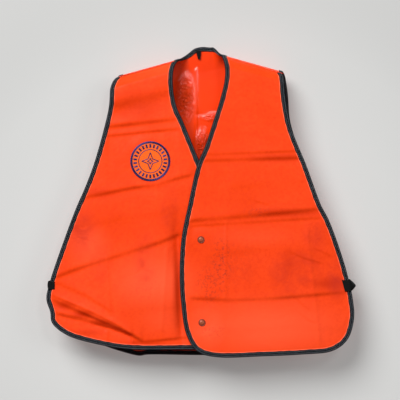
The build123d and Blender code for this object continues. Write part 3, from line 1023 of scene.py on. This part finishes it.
def satin(line, sheet, width, off, pitch=0.0005, radius=0.00027):
    """Satin stitches across a closed or open flat line, over a low ribbon."""
    normal = inward(line, 1)
    half = width / 2
    rows = []
    for across, height in ((-1.0, -0.4), (-0.8, 0.3), (0.0, 0.6), (0.8, 0.3), (1.0, -0.4)):
        at = line + normal * across * half
        rows.append(sheet.place(at[:, 0], at[:, 1], off + height * radius))
    verts = np.concatenate(rows)
    faces = grid_faces(len(rows), len(line))
    strands, links = zigzag(line, normal, sheet, 0, pitch, -half, half, 0, radius, off + CLOTH / 2 + radius)
    faces += [tuple(i + len(verts) for i in link) for link in links]
    return np.concatenate([verts, strands]), faces


def joined(parts):
    """One list of points and one of faces from several."""
    verts = []
    faces = []
    for points, links in parts:
        faces += [tuple(i + len(verts) for i in link) for link in links]
        verts += list(points)
    return verts, faces


def circle(centre, radius, count):
    """A closed circle of count steps."""
    angle = np.linspace(0, 2 * math.pi, count + 1)
    return np.stack([centre[0] + radius * np.cos(angle), centre[1] + radius * np.sin(angle)], axis=1)


def star_outline(centre, points, outer, inner, per_side):
    """A closed star of straight sides, with per_side points on each."""
    corners = []
    for i in range(2 * points + 1):
        radius = outer if i % 2 == 0 else inner
        angle = math.pi / 2 + math.pi * i / points
        corners.append((centre[0] + radius * math.cos(angle), centre[1] + radius * math.sin(angle)))
    sides = [np.linspace(a, b, per_side, endpoint=False) for a, b in zip(corners, corners[1:])]
    return np.concatenate([*sides, [corners[-1]]])


def turned(name, sheet, centre, profile, materials, slots, segments=64):
    """A round piece on the cloth from (radius, height) pairs, outermost first, in millimetres."""
    rings = []
    for radius, height in profile:
        line = circle(centre, radius * MM, segments)[:-1]
        rings.append(sheet.place(line[:, 0], line[:, 1], height * MM))
    verts = np.concatenate(rings)
    faces = []
    face_slots = []
    for j in range(len(profile) - 1):
        for i in range(segments):
            a = j * segments + i
            b = j * segments + (i + 1) % segments
            faces.append((a, b, b + segments, a + segments))
            face_slots.append(slots[j])
    last = (len(profile) - 1) * segments
    faces.append(tuple(range(last, last + segments)))
    face_slots.append(slots[-1])
    obj = make_object(name, verts, faces, materials, face_slots=face_slots)
    return outward(obj)


def build_patch(sheet, start, end, twill, thread):
    """The round sewn badge: a twill disc, a satin border, a ring, a circle of bars and a star."""
    centre = PATCH_CENTRE[:2]
    base = 0.0008
    rim = [(36.8, 0.0), (36.8, 0.7), (36.4, 0.8)]
    flat = [(radius, 0.8) for radius in range(35, 0, -2)]
    disc = turned("patch_twill", sheet, centre, rim + flat, [twill], [0] * 20, 96)
    border = satin(circle(centre, 0.0378, 400), sheet, 0.0044, base)
    ring = satin(circle(centre, 0.0233, 240), sheet, 0.0014, base)
    bars = []
    for i in range(PATCH_BARS):
        angle = 2 * math.pi * (i + 0.5) / PATCH_BARS
        inner, outer = np.array(centre), np.array(centre)
        inner = inner + 0.0268 * np.array([math.cos(angle), math.sin(angle)])
        outer = outer + 0.0341 * np.array([math.cos(angle), math.sin(angle)])
        bars.append(satin(np.linspace(inner, outer, 8), sheet, 0.0038, base))
    star = satin(star_outline(centre, 4, 0.0172, 0.0066, 14), sheet, 0.0017, base)
    middle = satin(star_outline(centre, 4, 0.0060, 0.0026, 6), sheet, 0.0017, base)
    made = {
        "patch_ground": disc,
        "patch_border": make_object("patch_edge_stitches", *joined([border]), [thread]),
        "patch_ring": make_object("patch_ring_stitches", *joined([ring]), [thread]),
        "patch_marks": make_object("patch_bar_stitches", *joined(bars), [thread]),
        "patch_motif": make_object("patch_star_stitches", *joined([star, middle]), [thread]),
    }
    for node, obj in made.items():
        outward(obj)
        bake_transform(obj)
        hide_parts(node)


CAP_PROFILE = [
    # radius and height in millimetres, from under the rim to the middle of the dome
    (6.7, 0.10),
    (7.1, 0.45),
    (7.0, 0.95),
    (6.5, 1.20),
    (6.0, 1.10),
    (5.6, 0.80),
    (5.3, 1.05),
    (4.8, 1.60),
    (3.9, 2.15),
    (2.7, 2.48),
    (1.4, 2.60),
]


def build_caps(sheet, paint, rim):
    """The two painted caps on the left front, with a darker rim: painted shade round each cap's edge."""
    # the outer rings take the rim's darker colour, a painted shade round the cap's edge
    slots = [1] * 6 + [0] * (len(CAP_PROFILE) - 6)
    for (x, z, _), place in zip(SNAPS, ("upper", "lower")):
        cap = turned(f"{place}_cap_dome", sheet, (x, z), CAP_PROFILE, [paint, rim], slots)
        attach(cap, "left_flap")
        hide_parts(f"{place}_snap_cap")


def ribbed(path_rows, name, material, thickness):
    """A ribbon from rows of points across its width, with ribs along it."""
    rows, columns = path_rows.shape[:2]
    obj = make_object(name, path_rows.reshape(-1, 3), grid_faces(rows, columns), [material])
    thick = obj.modifiers.new("webbing", "SOLIDIFY")
    thick.thickness = thickness
    thick.offset = 0
    return obj


def build_strap(name, side, front, back, material):
    """An elastic strap sewn over the front's bound edge, round the side and onto the back's."""
    edge_front = 0.2975 if side > 0 else 0.303
    edge_back = 0.2945 if side > 0 else 0.300
    rows = []
    for share in np.linspace(-1, 1, 23):
        z = STRAP_Z + share * STRAP_HALF * (1.25 if side > 0 else 0.85)
        if side > 0:
            reach = 0.3120 - 0.0105 * abs(share + 0.1) ** 1.4  # folded to a blunt corner
            lap = 0.0125 + 0.003 * share
        else:
            reach = 0.3075 - 0.0015 * share**2
            lap = 0.0115
        rib = 0.00012 * math.cos(share * 11 * math.pi)
        clear = TAPE_HALF + 0.0010 + rib
        y_front = float(front.place(side * edge_front, z)[1])
        y_back = float(back.place(side * edge_back, z)[1])
        corner = [
            (edge_front - lap, y_front - clear),
            (edge_front - 0.4 * lap, y_front - clear),
            (edge_front + 0.0008, y_front - clear * 0.9),
            (0.55 * edge_front + 0.45 * reach, y_front + 0.001),
            (reach + rib, 0.62 * y_front + 0.38 * y_back),
            (reach - 0.002 + rib, 0.30 * y_front + 0.70 * y_back),
            (edge_back + 0.0032, y_back - 0.0005),
            (edge_back, y_back + clear * 0.9),
            (edge_back - 0.4 * lap, y_back + clear),
            (edge_back - lap, y_back + clear),
        ]
        line = smooth_line(np.array(corner) / MM, 60)
        rows.append(np.column_stack([side * line[:, 0], line[:, 1], np.full(60, z)]))
    strap = ribbed(np.array(rows), name, material, 0.0012)
    y_front = float(front.place(side * edge_front, STRAP_Z)[1])
    y_back = float(back.place(side * edge_back, STRAP_Z)[1])
    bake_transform(strap)
    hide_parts(name.replace("_strap", "_side_elastic"))


def build_loop(back, material):
    """The hanging loop: narrow tape doubled and sewn under the neck binding, tapering downwards."""
    rows = []
    for share in np.linspace(-1, 1, 13):
        line = []
        for step in np.linspace(0, 1, 41):
            down = math.sin(math.pi * step)
            z = 0.0290 - 0.0175 * down
            half = 0.0048 * (1 - 0.62 * down**1.6)
            x = LOOP_X + share * half + 0.0012 * down
            wall = float(back.place(x, z)[1])
            layer = 0.0010 + 0.0020 * step + 0.0016 * down
            rib = 0.0001 * math.cos(share * 6 * math.pi)
            line.append((x, wall - CLOTH - layer - rib, z))
        rows.append(line)
    loop = ribbed(np.array(rows), "hanging_loop", material, 0.0007)
    y = float(back.place(LOOP_X, 0.016)[1]) - 0.003
    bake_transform(loop)
    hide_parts("neck_loop")


def main():
    cad_box = load_frame()
    skins = [orange_outside(), orange_inside()]
    tape = [
        binding_material(),
        plain_detail("stitch_thread", (0.05, 0.055, 0.062), (0.21, 0.225, 0.25), 0.75, 500),
        # paler colour of the lip: a painted highlight beside the tape
        plain_detail("stretched_cloth_painted_highlight", (0.95, 0.09, 0.03), (1.0, 0.18, 0.09), 0.6, 600),
    ]
    build_stage()
    build_light()
    build_camera()
    fronts, folds = build_fronts(skins, tape)
    back, back_sheet = build_back(skins, tape)
    elastic = plain_detail("elastic_webbing", grey(0.002), (0.010, 0.011, 0.011), 0.85, 700, shine=0.06)
    metal = plain_detail("snap_metal", (0.14, 0.11, 0.08), (0.3, 0.25, 0.18), 0.4, 400, 0.9, shine=0.5)
    brown = (0.36, 0.085, 0.035)
    paint = plain_detail("worn_cap_paint", (0.20, 0.040, 0.016), brown, 0.40, 420, 0.15, shine=0.35)
    # the rim's darker colour is painted shade round each cap's edge
    rim = plain_detail("cap_rim_painted_shade", (0.13, 0.014, 0.006), (0.24, 0.028, 0.010), 0.45, 380, 0.2, shine=0.4)
    thread = plain_detail("patch_thread", (0.060, 0.034, 0.135), (0.125, 0.080, 0.26), 0.7, 900)
    build_patch(fronts["right"][1], *folds["right"], patch_twill(), thread)
    build_caps(fronts["left"][1], paint, rim)
    build_strap("left_strap", 1, fronts["left"][1], back_sheet, elastic)
    build_strap("right_strap", -1, fronts["right"][1], back_sheet, elastic)
    build_loop(back_sheet, elastic)
    for place in ("upper", "lower"):
        for part in ("socket", "stud", "post"):
            for slot in bpy.data.objects[f"{place}_snap_{part}"].material_slots:
                slot.material = metal


main()
